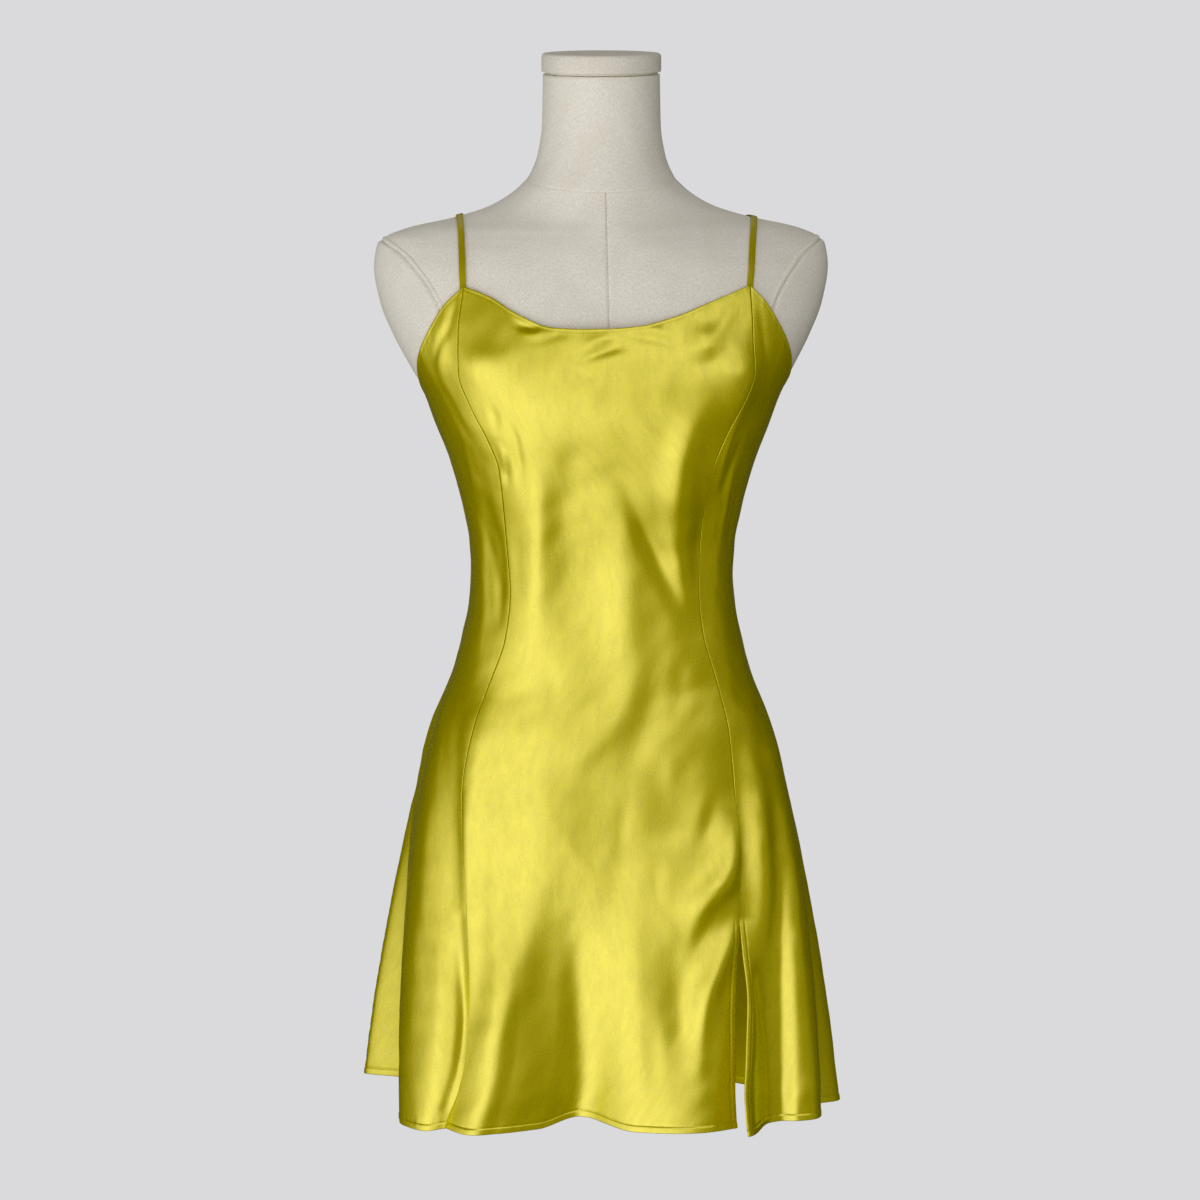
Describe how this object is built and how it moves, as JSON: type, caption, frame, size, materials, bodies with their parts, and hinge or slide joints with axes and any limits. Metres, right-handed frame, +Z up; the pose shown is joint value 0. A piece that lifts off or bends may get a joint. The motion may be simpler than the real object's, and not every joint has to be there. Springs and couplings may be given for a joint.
{
  "type": "slip dress on dress form",
  "caption": "Short bias-cut satin slip dress with narrow shoulder straps, princess seams, flared hem and a front slit, worn by a limbless linen dress form on a small stand.",
  "frame": {"origin": "on the flat underside of the stand's base plate, below the form's vertical axis", "axes": "+Z up along the form's axis, -Y towards the front of the dress, +X towards its slit side"},
  "size_m": [0.429, 0.3227, 0.9545],
  "materials": {
    "satin": "yellow silk satin, bias cut, glossy with a soft sheen",
    "strap_satin": "satin strap, olive yellow, dull",
    "linen": "plain woven linen cover, matt",
    "cap_linen": "linen-covered cap, matt",
    "painted_steel": "pale powder-coated steel"
  },
  "bodies": {
    "root": {"front_panel": "satin", "side_front_left": "satin", "side_front_right": "satin", "back_panel": "satin", "strap_left": "strap_satin", "strap_right": "strap_satin", "form_torso": "linen", "neck_cap": "cap_linen", "form_pole": "painted_steel", "form_base": "painted_steel"}
  },
  "joints": []
}
